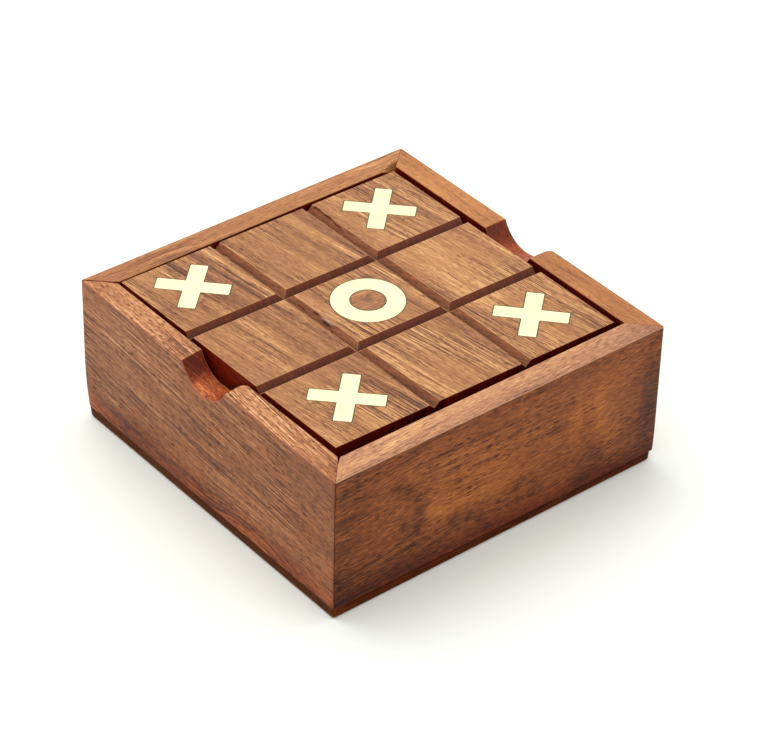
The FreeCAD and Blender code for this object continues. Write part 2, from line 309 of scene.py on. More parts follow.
class Wood:
    """Varnished wood, solid all through: rings round a heart line, streaks, fibres and pores."""

    def __init__(self, name, along, look):
        self.t = t = Tree(name)
        self.look = look
        self.tone = {key: tuple(WOOD_LEVEL * c for c in value)
                     for key, value in {**STANDARD, **look.colours}.items()}
        self.point = t.here()
        self.height = t.split(self.point)[2]
        normal = t.split(t.facing())
        self.up = normal[2]
        self.ends = t.math("ABSOLUTE", normal["XY".index(along)])  # 1 where fibres are cut across
        self.level = t.fade(self.up, 0.75, 0.95)  # 1 on the faces that look up
        self.kept = t.times(self.level, -look.calm, 1.0)  # fine figure left there
        turned = t.turned(self.point, (0, 0, math.radians(GRAIN_TURN[along])))
        self.grain = t.turned(turned, (0, math.radians(look.tilt), math.radians(look.spin)))
        self.slow = self.cloud(60, 26)
        self.radius = self.ring_radius()
        self.hairs = self.layer(14.0, look.hair, 8.0)
        self.fibres = t.noise(t.vector("DIVIDE", self.grain, FIBRE), detail=1.0)
        self.shown = self.figure_strength()
        self.pore = self.pores()
        colour = self.tints(self.figure())
        if look.stains:
            colour = look.stains(t, self.point, colour)
        self.varnish(self.marked(colour))

    def cloud(self, length, width, detail=1.0):
        """Soft noise of a length along the grain and a width across it."""
        seed = self.look.seed
        shift = self.t.vector("ADD", self.grain, (seed * 37.0, seed * 13.0, seed * 7.0))
        at = self.t.vector("MULTIPLY", shift, (1 / length, 1 / width, 1 / width))
        return self.t.noise(at, detail=detail)

    def places(self, spots, field, sign=1):
        """Add a glow to the field at each place."""
        for centre, size, amount in spots:
            field = glow(self.t, self.point, centre, size, sign * amount, field)
        return field

    def ring_radius(self):
        """Distance from the heart line, wandering a little and pushed out at the bends."""
        t, look = self.t, self.look
        across = t.vector("SUBTRACT", self.grain, (0, *look.heart))
        radius = t.vector("LENGTH", t.vector("MULTIPLY", across, (0, 1, 1)))
        radius = t.math("ADD", radius, centred(t, self.slow, 4.0 * look.warp))
        radius = t.math("ADD", radius, centred(t, self.cloud(22, 6), 0.5 * look.warp))
        return self.places(look.bends, radius)

    def layer(self, length, width, step):
        """Noise drawn out along the grain, that follows the rings. step tells layers apart."""
        t = self.t
        along, across, _ = t.split(self.grain)
        at = t.join(t.math("DIVIDE", along, length), t.math("DIVIDE", self.radius, width),
                    t.times(across, 0.02, self.look.seed + step))
        return t.noise(at, detail=1.0)

    def figure_strength(self):
        """How strongly the lines show: more in some places, less in quiet ones."""
        t = self.t
        shown = t.fade(self.cloud(30, 11, detail=0.0), 0.36, 0.62, 0.35, 1.4)
        shown = self.places(self.look.quiet, shown, -1)
        return t.times(t.math("MAXIMUM", shown, 0.1), self.kept)

    def pores(self):
        """Short dark pores that lie along the grain, thicker on the ground in some places."""
        t, look = self.t, self.look
        length, width, height = PORE
        size = (length, width * look.coarse, height * look.coarse)
        gap, chance = t.cells(t.vector("DIVIDE", self.grain, size))
        crowd = t.fade(self.slow, 0.35, 0.6, 0.57, 0.39)
        pore = t.times(t.fade(gap, 0.34, 0.22), t.math("GREATER_THAN", chance, crowd))
        pore = t.times(pore, self.kept)
        if look.quiet:
            pore = t.times(pore, t.fade(self.shown, 0.1, 0.7))
        return pore

    def figure(self):
        """The colour of the bands, lines, fine lines and fibres, with the pores in it."""
        t, look, tone = self.t, self.look, self.tone
        broad, medium, fine, finest = look.mix
        value = t.math("ADD", centred(t, self.layer(200.0, look.band, 0.0), broad), 0.5)
        lines = self.layer(50.0, look.line, 4.0)
        dark_line = t.fade(lines, 0.56, 0.34, 0.10 * medium, -0.30 * medium)
        value = t.times(dark_line, self.shown, value)
        value = t.times(centred(t, self.hairs, fine), self.shown, value)
        value = t.times(centred(t, self.fibres, finest), self.kept, value)
        value = self.places(look.patches, value)
        if look.flecks:
            golden = t.fade(self.layer(10.0, 0.5, 12.0), 0.58, 0.70)
            value = t.times(golden, look.flecks, value)
        colour = t.ramp(value, ((0.0, tone["deep"]), (0.27, tone["dark"]), (0.50, tone["mid"]),
                                (0.73, tone["light"]), (1.0, tone["pale"])))
        return t.mix(t.times(self.pore, PORE_COVER * look.pores), colour, tone["deep"])

    def tints(self, colour):
        """The colour as each face shows it, from the way the face looks: end grain darker, a
        painted sheen on the faces that look up, the grooves' sides with painted shade, and the foot
        tinted.
        """
        t, look = self.t, self.look
        colour = t.mix(1.0, colour, look.tint, "MULTIPLY")
        colour = t.tinted(colour, t.fade(self.ends, 0.25, 0.72), END_GRAIN)
        # painted sheen: the faces that look up are lighter and greyer
        colour = t.tinted(colour, self.level, look.top)
        if look.slope:
            colour = self.sloped(colour)
        return t.tinted(colour, t.fade(self.height, 13.0, 5.0), look.low)

    def sloped(self, colour):
        """The grooves' sides: a flat colour with streaks, and painted shade: darker towards the
        bottom, and darker on the sides across the grain, where end grain darkens them too.
        """
        t = self.t
        aslant = t.times(t.fade(self.up, 0.95, 0.80), t.fade(self.up, 0.40, 0.55))
        flat = t.mix(t.fade(self.ends, 0.25, 0.6), *self.look.slope)
        streak = t.times(t.fade(self.fibres, 0.36, 0.64, 0.78, 1.22),
                         t.fade(self.hairs, 0.34, 0.66, 0.84, 1.18))
        top = BOARD_TOP / MM
        # painted shade, darker down in the groove
        streak = t.times(streak, t.fade(self.height, top - 2.0, top, 0.80, 1.22))
        flat = t.mix(1.0, flat, t.join(streak, streak, streak), "MULTIPLY")
        return t.mix(t.times(aslant, 0.93), colour, flat)

    def marked(self, colour):
        """The colour where the mesh is marked as cut (saw marks), inside (painted shade, and the
        dark of glue lines) or worn (worn arrises, the pale ones partly a painted highlight).
        """
        t = self.t
        grit = t.noise(t.vector("MULTIPLY", self.point, (4.0, 0.5, 0.7)), detail=2.0, roughness=0.7)
        colour = t.tinted(colour, t.attribute("cut"), t.mix(t.fade(grit, 0.38, 0.62), *SAWN))
        # painted shade where marked inside, and the dark of glue lines
        colour = t.tinted(colour, t.attribute("inside"), GAP_SHADE_AND_JOINT)
        # the arrises: wear, and on the pale edges a painted highlight
        worn_colour, strength = self.look.edge or (self.tone["pale"], 0.3)
        return t.mix(t.times(t.attribute("worn"), strength), colour, worn_colour)

    def varnish(self, colour):
        """A satin surface, uneven in large patches, that sinks into the pores."""
        t, look = self.t, self.look
        shine = t.noise(self.point, scale=0.06, detail=3.0)
        roughness = t.fade(shine, 0.3, 0.7, look.rough - 0.05, look.rough + 0.08)
        relief = t.times(self.fibres, 0.35, t.times(self.pore, -look.pores))
        t.surface({
            "Base Color": colour,
            "Roughness": t.times(self.pore, 0.25, roughness),
            "Coat Weight": look.coat,
            "Coat Roughness": 0.25,
            "Specular IOR Level": look.gloss,
            "Normal": t.bump(relief, 0.06 * MM, 0.6),
        })


def wood(name, along, **look):
    """A wood material with its grain along X or Y: PLAIN_WOOD, apart from what look says."""
    return Wood(name, along, SimpleNamespace(**{**PLAIN_WOOD, **look})).t.material


def plan_distance(t, point, node):
    """How far a point lies in plan from the middle of a CAD node, in millimetres."""
    away = t.vector("SUBTRACT", point, middle_mm(node))
    return t.vector("LENGTH", t.vector("MULTIPLY", away, (1, 1, 0)))


def inlay_distance(t, point):
    """How far a point of the board's top lies from the nearest brass, in millimetres."""
    away = t.math("SUBTRACT", plan_distance(t, point, "inlay_ring"), RING_OUTER)
    for node, turn in CROSSES.items():
        local = t.vector("SUBTRACT", point, middle_mm(node))
        local = t.vector("ABSOLUTE", t.turned(local, (0, 0, math.radians(-turn))))
        u, v, _ = t.split(local)
        cross = t.math("MAXIMUM", t.math("SUBTRACT", t.math("MAXIMUM", u, v), CROSS_HALF),
                       t.math("SUBTRACT", t.math("MINIMUM", u, v), CROSS_ARM))
        away = t.math("MINIMUM", away, cross)
    return away


def inlay_stains_and_chip_light(t, point, colour):
    """Dark filler and smudges round each brass inlay, and the painted highlight and shadow at the
    broken edge in the middle cell.
    """
    away = inlay_distance(t, point)
    patchy = t.noise(point, scale=0.35, detail=3.0, roughness=0.6)
    line = t.fade(away, 0.15, 0.45, 0.85, 0.0)
    smudge = t.times(t.fade(away, 0.0, 3.4, 1.0, 0.0), t.fade(patchy, 0.48, 0.72))
    dark = t.math("MAXIMUM", line, t.times(smudge, 0.6))
    colour = t.mix(dark, colour, FILLER)
    # painted highlight on the broken lip
    colour = t.mix(glow(t, point, *LIP_HIGHLIGHT_PLACE, 0.0), colour, LIP_HIGHLIGHT)
    # painted shadow in the crack under the lip
    crack_shadow = t.math("MINIMUM", glow(t, point, *CRACK_SHADOW_PLACE, 0.0), 0.95)
    return t.mix(crack_shadow, colour, CRACK_SHADOW)


def dull_side(t, point, colour):
    """The base panel's side at -X is greyer."""
    near = t.fade(t.split(point)[0], -62.0, -63.2)
    return t.tinted(colour, near, (1.35, 2.3, 3.2))


def filled_centre(t, point, colour):
    """A grey filler in the plug's pilot hole and round its edge, bled a little into the wood."""
    ragged = centred(t, t.noise(point, scale=1.1), 1.6)
    away = t.math("ADD", plan_distance(t, point, "ring_plug"), ragged)
    hole = t.fade(away, 0.5, 1.9, 0.75, 0.0)
    rim = t.fade(away, 4.6, 5.6, 0.0, 0.6)
    return t.mix(t.math("MAXIMUM", hole, rim), colour, PLUG_FILLER)


def brass(name):
    """Flat polished brass with fine rubbing marks and a little tarnish at the edges."""
    t = Tree(name)
    point = t.here()
    rubs = [t.noise(t.turned(t.vector("MULTIPLY", point, squash), (0, 0, turn)), detail=3.0)
            for squash, turn in (((0.5, 7.0, 1.0), 0.6), ((6.0, 0.4, 1.0), -0.3))]
    cloud = t.noise(point, scale=0.18, detail=3.0)
    colour = t.mix(t.fade(cloud, 0.35, 0.75), *BRASS)
    colour = t.mix(t.times(t.attribute("worn"), 0.55), colour, TARNISH)
    marks = t.times(t.math("ADD", *rubs), 0.5)
    t.surface({
        "Base Color": colour,
        "Metallic": 1.0,
        "Roughness": t.fade(marks, 0.3, 0.7, 0.30, 0.42),
        "Normal": t.bump(marks, 0.01 * MM, 0.35),
    })
    return t.material


# ---------------- mesh helpers
SMOOTH = math.radians(42)  # edges blunter than this are shaded smooth


def add_object(name, data):
    """A new object in the scene."""
    item = bpy.data.objects.new(name, data)
    bpy.context.scene.collection.objects.link(item)
    return item


def make_piece(name, mesh, body, nodes, material):
    """Put a mesh in the scene as a piece that stands for CAD nodes and rides on a body."""
    piece = add_object(name, mesh)
    mesh.materials.append(material)
    for polygon in mesh.polygons:
        polygon.use_smooth = True
    mesh.set_sharp_from_angle(angle=SMOOTH)
    weighted = piece.modifiers.new("even_normals", "WEIGHTED_NORMAL")
    weighted.keep_sharp = True
    weighted.weight = 80
    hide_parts(*nodes)
    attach(piece, body)


def mark(mesh, name, values):
    """Store one value for each face on the face's corners."""
    layer = mesh.attributes.new(name, "FLOAT", "CORNER")
    data = np.zeros(len(mesh.loops), np.float32)
    for polygon in mesh.polygons:
        data[polygon.loop_start:polygon.loop_start + polygon.loop_total] = values[polygon.index]
    layer.data.foreach_set("value", data)


def loft(name, rings, face_marks):
    """A closed skin through rings of points, with flat caps.

    face_marks gives a face's worn, inside and cut values from its ring and its place in it.
    """
    count = len(rings[0])
    faces, marks = [], []
    for i in range(len(rings) - 1):
        for j in range(count):
            k = (j + 1) % count
            faces.append((i * count + j, i * count + k, (i + 1) * count + k, (i + 1) * count + j))
            marks.append(face_marks(i, j))
    last = (len(rings) - 1) * count
    faces.append(tuple(reversed(range(count))))
    faces.append(tuple(last + j for j in range(count)))
    marks += [(0.0, 0.0, 0.0)] * 2
    mesh = bpy.data.meshes.new(name)
    mesh.from_pydata([p for ring in rings for p in ring], [], faces)
    for i, key in enumerate(("worn", "inside", "cut")):
        mark(mesh, key, [m[i] for m in marks])
    return mesh


def refined(node, width, cutters=(), sharp=25.0, gap_shade=1.0):
    """A copy of a CAD node's mesh with clean faces, soft arrises and chips cut out of it.

    Edges sharper than so many degrees are rounded over a width. raw says how far the upright
    and lower faces are marked as inside, which lays painted shade on them as down in a gap.
    """
    mesh = bpy.data.meshes.new(node + "_fine")
    bm = bmesh.new()
    bm.from_mesh(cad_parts[node].data)
    for layer in list(bm.loops.layers.uv.values()):
        bm.loops.layers.uv.remove(layer)
    bmesh.ops.remove_doubles(bm, verts=bm.verts, dist=2e-6)
    bmesh.ops.dissolve_limit(bm, angle_limit=math.radians(0.4), verts=bm.verts, edges=bm.edges)
    edges = [e for e in bm.edges
             if len(e.link_faces) == 2 and e.calc_face_angle() > math.radians(sharp)]
    bevelled = bmesh.ops.bevel(bm, geom=edges, offset=width, segments=2, profile=0.5,
                               affect="EDGES", clamp_overlap=True)
    bm.faces.index_update()
    arris = {face.index for face in bevelled["faces"]}
    bmesh.ops.recalc_face_normals(bm, faces=bm.faces)
    bm.to_mesh(mesh)
    bm.free()
    rim = max(v.co.z for v in mesh.vertices) - 1.5 * width
    mark(mesh, "worn", [1.0 if p.index in arris and p.center.z > rim else 0.0
                        for p in mesh.polygons])
    # painted shade on the upright and lower faces, which sit down in the gaps
    mark(mesh, "inside", [gap_shade if abs(p.normal.z) < 0.2 or p.normal.z < -0.5 else 0.0
                          for p in mesh.polygons])
    return cut_out(mesh, cutters) if cutters else mesh


def cut_out(mesh, cutters):
    """The mesh with each cutter's shape taken out of it."""
    target = add_object("target", mesh)
    tools = []
    for shape in cutters:
        tool = add_object("cutter", shape)
        boolean = target.modifiers.new("chip", "BOOLEAN")
        boolean.operation = "DIFFERENCE"
        boolean.solver = "EXACT"
        boolean.object = tool
        tools.append(tool)
    bpy.context.view_layer.update()
    graph = bpy.context.evaluated_depsgraph_get()
    result = bpy.data.meshes.new_from_object(target.evaluated_get(graph))
    for item in tools + [target]:
        bpy.data.objects.remove(item)
    return result


def splinter(centre, size, seed, rough):
    """A lumpy long shape, used to break a chip out of an edge."""
    bm = bmesh.new()
    bmesh.ops.create_icosphere(bm, subdivisions=3, radius=1.0)
    for vert in bm.verts:
        at = vert.co * 1.7 + Vector((seed, seed * 2.0, 0))
        lump = 1.0 + rough * noise.noise(at) + 0.5 * rough * noise.noise(at * 3.1)
        co = vert.co * lump
        vert.co = Vector((co.x * size[0], co.y * size[1], co.z * size[2])) + Vector(centre)
    mesh = bpy.data.meshes.new("splinter")
    bm.to_mesh(mesh)
    bm.free()
    # the faces a chip leaves are marked inside: torn wood with painted shade
    mark(mesh, "inside", [0.75] * len(mesh.polygons))
    return mesh


# ---------------- the box's walls
# How far each outer corner of the box is rounded in plan, at the rim and at the ground, and
# how far up the rounding at the ground reaches.
ROUNDING = {
    "front": (0.5 * MM, 1.0 * MM, 10 * MM),
    "left": (0.8 * MM, 4.2 * MM, 22 * MM),
    "right": (0.9 * MM, 2.0 * MM, 12 * MM),
    "back": (0.8 * MM, 1.6 * MM, 12 * MM),
}
# Each wall's turn round the box in degrees, and the corners and the walls at its two ends.
SIDES = {
    "front": (0, ("front", "right"), ("left", "right")),
    "back": (180, ("back", "left"), ("right", "left")),
    "left": (270, ("left", "front"), ("back", "front")),
    "right": (90, ("right", "back"), ("front", "back")),
}
INNER_ARRIS = 0.25 * MM
OUTER_FACETS, INNER_FACETS, BOTTOM_FACETS = 4, 3, 5  # facets round the walls' and base's arrises
MITRE_REACH = 20 * MM  # stations this near a wall's end lean towards its mitre
OPENING_REACH = 3.2 * MM  # how far out from the inner face a mitre gapes
UNEVEN, UNEVEN_PITCH = 0.05 * MM, 60  # how far the tops dip unevenly, and how closely
JOINT_GAP = 0.07 * MM  # half the glue line at a mitre
OPEN_CORNER, OPEN_GAP = "left", 0.16 * MM  # the corner whose mitre stands open all along
SEAM_LINE, SEAM_SHADE = 0.25 * MM, 1.1 * MM  # the dark glue line and the dull wood beside it
# Where a wall's section has points: shares of the height up the outer face, closer together
# at the foot, where the corners bend; millimetres in over the top; and down the inner face.
OUTER_STEPS = (0.0, 0.03, 0.07, 0.12, 0.18, 0.25, 0.33, 0.45, 0.62, 0.8, 0.93)
TOP_STEPS = (1.2, 2.0, 3.2, 4.4, 5.2, 6.0, 6.6, 7.1, 7.5, 7.9)
INNER_STEPS = (0.93, 0.8, 0.5, 0.2, 0.0)
# Where a wall's sections stand: shares of the notch's half width, or millimetres from the
# middle of a plain wall, and then millimetres, closer together at the corner.
NOTCH_STATIONS = (0, .12, .25, .38, .5, .62, .72, .81, .88, .93, .965, .985, 1.0, 1.015, 1.035,
                  1.07, 1.13)
PLAIN_STATIONS = (0, 2, 4, 6, 8)
END_STATIONS = (14, 20, 28, 36, 44, 49, 51.5, 53, 54.5, 56, 57.5, 59, 60, 60.8, 61.5, 62, 62.4,
                62.8, 63.1, 63.3)

# A point of a wall's section: how deep it lies in the wall, whether its value is a share of the
# face's height or a drop from the top, and the marks of the face that starts there.
Row = namedtuple("Row", "depth part value worn inside")


def quarter_turn(facets):
    """The angles between an arris's facets, from 0 to a right angle."""
    return [i / facets * math.pi / 2 for i in range(facets + 1)]


def corner_radius(corner, z):
    """The plan rounding of a corner at a height: the foot's rounding fades out going up."""
    high, low, reach = ROUNDING[corner]
    rise = min(1.0, max(0.0, z / reach))
    return high + (low - high) * (1 - rise) ** 2


def round_corner(along, out, inset, radius):
    """Move a point that lies outside the box's rounded plan outline onto it."""
    centre = HALF - radius
    sign = -1 if along < 0 else 1
    dx, dy = abs(along) - centre, out - centre
    if dx > 0 and dy > 0:
        length = math.hypot(dx, dy)
        limit = max(radius - inset * 0.9, 0.02 * MM)
        if length > limit:
            dx, dy = dx / length * limit, dy / length * limit
            return sign * (centre + dx), centre + dy
    return along, out


def soft_min(a, b, k):
    """The smaller of two heights, blended over a range k."""
    h = max(k - abs(a - b), 0.0) / k
    return min(a, b) - h * h * k * 0.25


class Notch:
    """The round finger notch across a wall's top edge.

    skew is how far it drifts along the wall for each unit of depth. One shoulder is worn round:
    ease_side says which, and ease_inside whether it is worn at the inner or the outer face.
    """

    EASE_REACH = 2.6 * MM  # how far into the wall the worn shoulder goes
    BLEND = 14 * MM  # stations lean with the notch up to here, and fade beyond
    LIP = 0.5 * MM  # how softly the notch meets the rim

    def __init__(self, thick, skew, ease_side, ease_inside):
        self.thick = thick
        self.half = math.sqrt(NOTCH_RADIUS ** 2 - (NOTCH_RADIUS - NOTCH_DEPTH) ** 2)
        self.skew = skew
        self.ease_side = ease_side
        self.ease_inside = ease_inside

    def ease(self, depth):
        """How far the worn shoulder is cut back at a depth into the wall."""
        reach = self.EASE_REACH
        into = depth - (self.thick - reach) if self.ease_inside else reach - depth
        into = min(max(into, 0.0), 0.97 * reach)
        return reach - math.sqrt(reach ** 2 - into ** 2)

    def station(self, s, depth):
        """Where a station along the wall lies at a depth, so that it follows the skew and ease."""
        fade = min(1.0, max(0.0, 2 - abs(s) / self.BLEND))
        moved = self.skew * depth
        if s * self.ease_side > 0:
            moved += self.ease_side * self.ease(depth) * min(1.0, abs(s) / self.half)
        return s + moved * fade

    def top(self, s, depth):
        """Height of the wall's top surface."""
        offset = s - self.skew * depth
        if offset * self.ease_side > 0:
            offset *= self.half / (self.half + self.ease(depth))
        if abs(offset) >= 0.985 * NOTCH_RADIUS:
            return RIM
        dip = RIM - NOTCH_DEPTH + NOTCH_RADIUS - math.sqrt(NOTCH_RADIUS ** 2 - offset ** 2)
        return soft_min(RIM, dip, self.LIP)


def stations(notch):
    """Distances along a wall at which its section is drawn."""
    if notch:
        marks = [notch.half / MM * share for share in NOTCH_STATIONS]
    else:
        marks = list(PLAIN_STATIONS)
    marks += [*END_STATIONS, OUTER]
    return [-m * MM for m in reversed(marks) if m > 0] + [m * MM for m in marks]


def section_rows(outer_arris, thick):
    """The points round a wall's section, from its outer foot over the top to its inner foot."""
    rows = [Row(0.0, "face", share, 0.0, 0.0) for share in OUTER_STEPS]
    for turn in quarter_turn(OUTER_FACETS):
        worn = 0.8 if turn < math.pi / 2 else 0.0
        rows.append(Row(outer_arris * (1 - math.cos(turn)), "top",
                        outer_arris * (1 - math.sin(turn)), worn, 0.0))
    inner = thick - INNER_ARRIS
    rows += [Row(depth * MM, "top", 0.0, 0.0, 0.0) for depth in TOP_STEPS
             if outer_arris < depth * MM < inner - 0.1 * MM]
    for turn in quarter_turn(INNER_FACETS):
        worn, inside = (0.7, 0.0) if turn < math.pi / 2 else (0.0, 1.0)
        rows.append(Row(inner + INNER_ARRIS * math.sin(turn), "top",
                        INNER_ARRIS * (1 - math.cos(turn)), worn, inside))
    # the inner face is marked inside, for painted shade
    return rows + [Row(thick, "face", share, 0.0, 1.0) for share in INNER_STEPS]


class Wall:
    """A side of the box, drawn from section to section, with mitred ends and sanded arrises.

    openings widen the mitre joint at the inner end of the wall's low and high end. chip is
    called as chip(distance from the low end, distance from the inner face). seam darkens the
    high end along the glue line.
    """

    def __init__(self, side, notch=None, openings=(0.0, 0.0), chip=None, arris=0.35 * MM,
                 seam=False):
        self.turn, self.ends, self.meets = SIDES[side]
        self.notch = notch
        self.openings = openings
        self.chip = chip
        self.seam = seam
        self.thick = THICK[side]
        self.rows = section_rows(arris, self.thick)
        self.stations = stations(notch)

    def mitre(self, s, depth):
        """How far a point near an end is drawn back, so that the wall ends in a mitre."""
        beyond = abs(s) - (HALF - MITRE_REACH)
        if beyond <= 0:
            return 0.0
        end = 0 if s < 0 else 1
        deep = max(0.0, depth - (self.thick - OPENING_REACH)) / OPENING_REACH
        gap = OPEN_GAP if self.ends[end] == OPEN_CORNER else JOINT_GAP
        inset = depth * THICK[self.meets[end]] / self.thick + gap + self.openings[end] * deep ** 2
        return math.copysign(inset * beyond / MITRE_REACH, s)

    def point(self, s, row):
        """A point of the wall's skin, from its station and its row."""
        along = self.notch.station(s, row.depth) if self.notch else s
        along -= self.mitre(s, row.depth)
        top = self.notch.top(along, row.depth) if self.notch else RIM
        on_top = row.part == "top"
        if self.chip and on_top:
            top -= self.chip(along + HALF, self.thick - row.depth)
        z = top - row.value if on_top else FOOT + row.value * (top - 0.5 * MM - FOOT)
        radius = corner_radius(self.ends[0 if s < 0 else 1], z)
        along, out = round_corner(along, HALF - row.depth, row.depth, radius)
        if on_top and row.depth > 0.5 * MM:
            at = Vector((along, row.depth, z)) * UNEVEN_PITCH + Vector((0, 0, self.turn))
            z -= abs(UNEVEN * noise.noise(at))
        return Vector((along, -out, z))

    def marks(self, i, j):
        """The worn, inside and cut values of the face from a station and a row on."""
        row, start = self.rows[j], self.stations[i]
        if self.seam and j < len(OUTER_STEPS) and start > HALF - SEAM_SHADE:
            return 0.0, 0.7 if start > HALF - SEAM_LINE else 0.16, 0.0
        middle = (start + self.stations[i + 1]) / 2
        on_top = row.part == "top"
        # the tops beside the open mitre are marked inside: painted shade of the gap
        if on_top and self.ends[middle > 0] == OPEN_CORNER and abs(middle) > HALF - 0.4 * MM:
            return 0.0, 0.8, 0.0
        in_notch = self.notch and on_top and abs(middle) < self.notch.half
        inside = row.inside if j < len(self.rows) - 1 else 1.0
        return row.worn, inside, 1.0 if in_notch else 0.0

    def mesh(self, name):
        """The wall's skin, turned to its side of the box."""
        spin = Matrix.Rotation(math.radians(self.turn), 4, "Z")
        rings = [[spin @ self.point(s, row) for row in self.rows] for s in self.stations]
        return loft(name, rings, self.marks)


def broken_corner(distance, within):
    """How deep the chip at the inner end of the back wall's mitre is at a point of its top."""
    length, width, depth = 6.2 * MM, 2.9 * MM, 2.4 * MM
    reach = distance - THICK["right"] + 0.6 * MM
    if reach > length:
        return 0.0
    edge = width * (1 - max(0.0, reach) / length)
    edge += 0.25 * MM * noise.noise(Vector((distance * 900, 3.0, 0)))
    inside = edge - within
    if edge <= 0 or inside <= 0:
        return 0.0
    return min(depth, inside * 0.95 + 0.12 * MM)


# ---------------- slabs with rounded outlines
# How far each corner of the base panel stands back from the walls.
SETBACKS = (("back", 0.4 * MM), ("left", 0.0), ("front", 0.0), ("right", 0.5 * MM))
CORNER_FACETS = 7  # facets round a corner of the base panel
PLUG_FACETS = 48  # facets round the plug


def rounded_square(half, inset, z):
    """A ring of points round a square whose corners have their own radii and setbacks."""
    points = []
    for quarter, (corner, setback) in enumerate(SETBACKS):
        start = quarter * math.pi / 2
        mid = start + math.pi / 4
        side = half - inset - setback
        bend = max(corner_radius(corner, z) - inset, 0.05 * MM)
        cx = math.copysign(side - bend, math.cos(mid))
        cy = math.copysign(side - bend, math.sin(mid))
        for turn in quarter_turn(CORNER_FACETS):
            angle = start + turn
            points.append(Vector((cx + bend * math.cos(angle), cy + bend * math.sin(angle), z)))
    return points


def base_mesh():
    """The base panel: rounded corners, a soft bottom arris and a fine arris at the joint."""
    half, top, soft = BASE_HIGH.x, BASE_HIGH.z, 0.9 * MM
    levels = [(soft * (1 - math.sin(turn)), soft * (1 - math.cos(turn)))
              for turn in quarter_turn(BOTTOM_FACETS)]
    levels += [(0.0, top * 0.5), (0.0, top - 0.25 * MM), (0.1 * MM, top - 0.07 * MM),
               (0.3 * MM, top)]
    rings = [rounded_square(half, inset, z) for inset, z in levels]
    plain = (BOTTOM_FACETS, BOTTOM_FACETS + 1)
    return loft("base_fine", rings, lambda i, j: (0.0 if i in plain else 0.4, 0.0, 0.0))


def plug_mesh():
    """The ring's wooden plug, with the dimple of its filled pilot hole."""
    low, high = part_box("ring_plug")
    middle, reach = (low + high) / 2, (high.x - low.x) / 2
    arris = 0.06 * MM
    levels = ((reach, low.z), (reach, high.z - arris), (reach - arris, high.z),
              (3.0 * MM, high.z), (1.0 * MM, high.z - 0.02 * MM), (0.6 * MM, high.z - 0.12 * MM),
              (0.1 * MM, high.z - 0.15 * MM))
    turns = [i / PLUG_FACETS * math.tau for i in range(PLUG_FACETS)]
    rings = [[Vector((middle.x + radius * math.cos(a), middle.y + radius * math.sin(a), z))
              for a in turns] for radius, z in levels]
    return loft("plug_fine", rings, lambda i, j: (0.0, 0.0, 0.0))


# ---------------- pieces
THROUGH = 30.0  # how far a patch of the wood's figure goes into the wood
BOARD_HEIGHT = 50  # millimetres: patches of the board's figure lie here


def on_front(x, z, wide, high, amount):
    """A place on the front wall's outer face."""
    return (x, -OUTER, z), (wide, THROUGH, high), amount


def on_left(y, z, wide, high, amount):
    """A place on the left wall's outer face."""
    return (-OUTER, y, z), (THROUGH, wide, high), amount


def on_board(x, y, wide, long, amount):
    """A place on the board's top."""
    return (x, y, BOARD_HEIGHT), (wide, long, THROUGH), amount


def trail(size, amount, *points):
    """A soft streak of places through points (x, z) of the front wall's face."""
    return tuple(on_front(x, z, size, size * 0.85, amount) for x, z in points)


def front_wood():
    """The front wall: brown with a smoky hook and arches, golden between them."""
    bends = (on_front(-36, 27, 8, 8, 7.0), on_front(-12, 6, 10, 8, 6.0),
             on_front(34, 24, 10, 18, -4.0))
    hook = (trail(2.7, -0.26, (-41, 38), (-36, 35.5), (-32.6, 31), (-31.6, 26), (-31.4, 21))
            + trail(2.0, -0.22, (-32.5, 18.6), (-37.5, 22)))
    arches = (trail(3.2, -0.09, (-61, 41), (-54, 40.5), (-47, 39))
              + trail(2.0, -0.22, (-19, 16), (-13, 14.6), (-8.5, 11), (-5.5, 6.5))
              + trail(2.8, -0.13, (14, 44), (20, 43), (26, 40))
              + trail(3.2, -0.13, (6, 16), (14, 12), (22, 31), (37, 16), (33, 7)))
    # Spots are (x, z, wide, high, amount).
    golden = ((-24, 23, 5, 5, 0.16), (-14, 22, 9, 4, 0.12), (-38, 14, 10, 4, 0.06),
              (-20, 9, 9, 3, 0.06), (-1, 22, 7, 6, 0.08), (39, 30, 3.5, 11, 0.15),
              (43, 17, 3, 7, 0.12), (29, 28, 3, 9, 0.10), (24, 9, 9, 4, 0.08),
              (9, 43, 9, 3, 0.10), (-15, 36, 18, 8, 0.06))
    smoky = ((-40, 29, 4, 8, -0.05), (60, 26, 7, 24, -0.24), (-56, 26, 10, 18, -0.12),
             (-62, 13, 4, 16, -0.14), (-36, 9, 32, 11, -0.15), (38, 10, 18, 9, -0.17),
             (24, 20, 14, 5, -0.06), (11, 36, 6, 6, -0.06), (61, 20, 6, 16, -0.13))
    patches = hook + arches + tuple(on_front(*spot) for spot in golden + smoky)
    quiet = (((28, -OUTER, 24), (30, 40, 26), 0.75), ((60, -OUTER, 24), (12, 40, 40), 0.5))
    red = dict(deep=(0.035, 0.008, 0.002), dark=(0.120, 0.032, 0.009), mid=(0.255, 0.072, 0.016),
               light=(0.400, 0.134, 0.026), pale=(0.560, 0.230, 0.050))
    # top tints the rim with a painted sheen; edge is the worn rim arris, its pale line partly a
    # painted highlight
    return wood("wood_front", "X", tilt=2.0, seed=1.0, heart=(40.0, 130.0), colours=red,
                warp=1.2, bends=bends, patches=patches, quiet=quiet, line=1.4,
                mix=(0.40, 0.30, 0.55, 0.95), pores=1.2, coarse=1.25, calm=0.3, rough=0.42,
                coat=0.03, gloss=0.12, tint=(0.92, 0.82, 0.82), top=(2.1, 3.7, 8.6),
                low=(0.54, 0.31, 0.13), edge=((0.70, 0.43, 0.27), 0.5))


